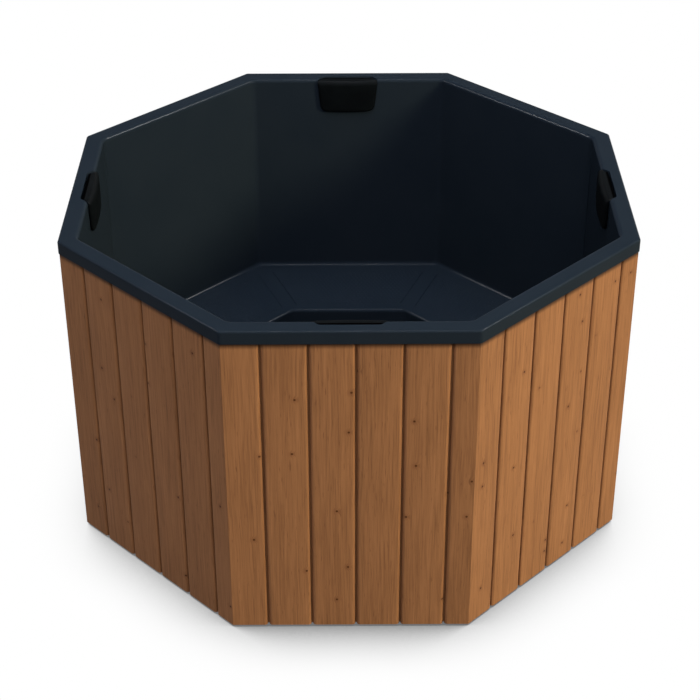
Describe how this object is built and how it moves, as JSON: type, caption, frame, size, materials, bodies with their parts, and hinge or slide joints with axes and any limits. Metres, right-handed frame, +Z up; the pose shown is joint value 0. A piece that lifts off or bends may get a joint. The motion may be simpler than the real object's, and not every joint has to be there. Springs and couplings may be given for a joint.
{
  "type": "wooden hot tub",
  "caption": "Octagonal hot tub: a moulded plastic liner with a bench and sunken foot well, clad in upright stained boards, with lift-out headrests and a drain valve at the back.",
  "frame": {"origin": "on the ground under the middle of the tub, on the underside of the middle bearer", "axes": "+Z up, the front face looks along -Y, the heater and drain connections are on the +Y face, +X to the right seen from the front"},
  "size_m": [1.6, 1.756, 0.98],
  "materials": {
    "liner": "satin moulded polyethylene, dark blue grey",
    "headrest": "black skinned foam",
    "cladding": "brown stained softwood, satin",
    "frame_timber": "planed softwood, unfinished",
    "corner_plate": "zinc plated",
    "pipe": "grey pipe plastic",
    "fitting": "black moulded plastic",
    "gasket": "matt",
    "strainer": "stainless, satin",
    "lever": "red moulded plastic",
    "valve_inner": "light grey plastic"
  },
  "bodies": {
    "tub": {"tub_liner": "liner", "cladding_front": "cladding", "battens_front": "frame_timber", "sole_plate_front": "frame_timber", "cladding_front_right": "cladding", "battens_front_right": "frame_timber", "sole_plate_front_right": "frame_timber", "cladding_right": "cladding", "battens_right": "frame_timber", "sole_plate_right": "frame_timber", "cladding_back_right": "cladding", "battens_back_right": "frame_timber", "sole_plate_back_right": "frame_timber", "cladding_back": "cladding", "battens_back": "frame_timber", "sole_plate_back": "frame_timber", "cladding_back_left": "cladding", "battens_back_left": "frame_timber", "sole_plate_back_left": "frame_timber", "cladding_left": "cladding", "battens_left": "frame_timber", "sole_plate_left": "frame_timber", "cladding_front_left": "cladding", "battens_front_left": "frame_timber", "sole_plate_front_left": "frame_timber", "corner_plates": "corner_plate", "seat_rails": "frame_timber", "corner_posts": "frame_timber", "bearer_left": "frame_timber", "bearer_middle": "frame_timber", "bearer_right": "frame_timber", "heater_return_pipe": "pipe", "heater_supply_pipe": "pipe", "heater_couplings": "pipe", "drain_pipe": "pipe", "drain_sump": "pipe", "valve_body": "pipe", "drain_outlet": "pipe", "heater_flanges": "fitting", "heater_locknuts": "fitting", "heater_collars": "fitting", "drain_flange": "fitting", "drain_collar": "fitting", "valve_union_nuts": "fitting", "heater_gaskets": "gasket", "drain_gasket": "gasket"},
    "headrest_front": {"headrest_front": "headrest"},
    "headrest_right": {"headrest_right": "headrest"},
    "headrest_back": {"headrest_back": "headrest"},
    "headrest_left": {"headrest_left": "headrest"},
    "strainer": {"drain_strainer": "strainer"},
    "drain_valve": {"valve_lever": "lever", "valve_stem": "valve_inner", "valve_ball": "valve_inner"}
  },
  "joints": [
    {"name": "headrest_front_pull", "type": "slide", "parent": "tub", "child": "headrest_front", "axis": [0, 1, 0], "range_m": [0, 0.08]},
    {"name": "headrest_right_pull", "type": "slide", "parent": "tub", "child": "headrest_right", "axis": [-1, 0, 0], "range_m": [0, 0.08]},
    {"name": "headrest_back_pull", "type": "slide", "parent": "tub", "child": "headrest_back", "axis": [0, -1, 0], "range_m": [0, 0.08]},
    {"name": "headrest_left_pull", "type": "slide", "parent": "tub", "child": "headrest_left", "axis": [1, 0, 0], "range_m": [0, 0.08]},
    {"name": "strainer_lift", "type": "slide", "parent": "tub", "child": "strainer", "axis": [0, 0, 1], "range_m": [0, 0.05]},
    {"name": "valve_turn", "type": "hinge", "parent": "tub", "child": "drain_valve", "pos_m": [0.14, 0.855, 0.1235], "axis": [0, 0, 1], "range_deg": [0, 90]}
  ]
}
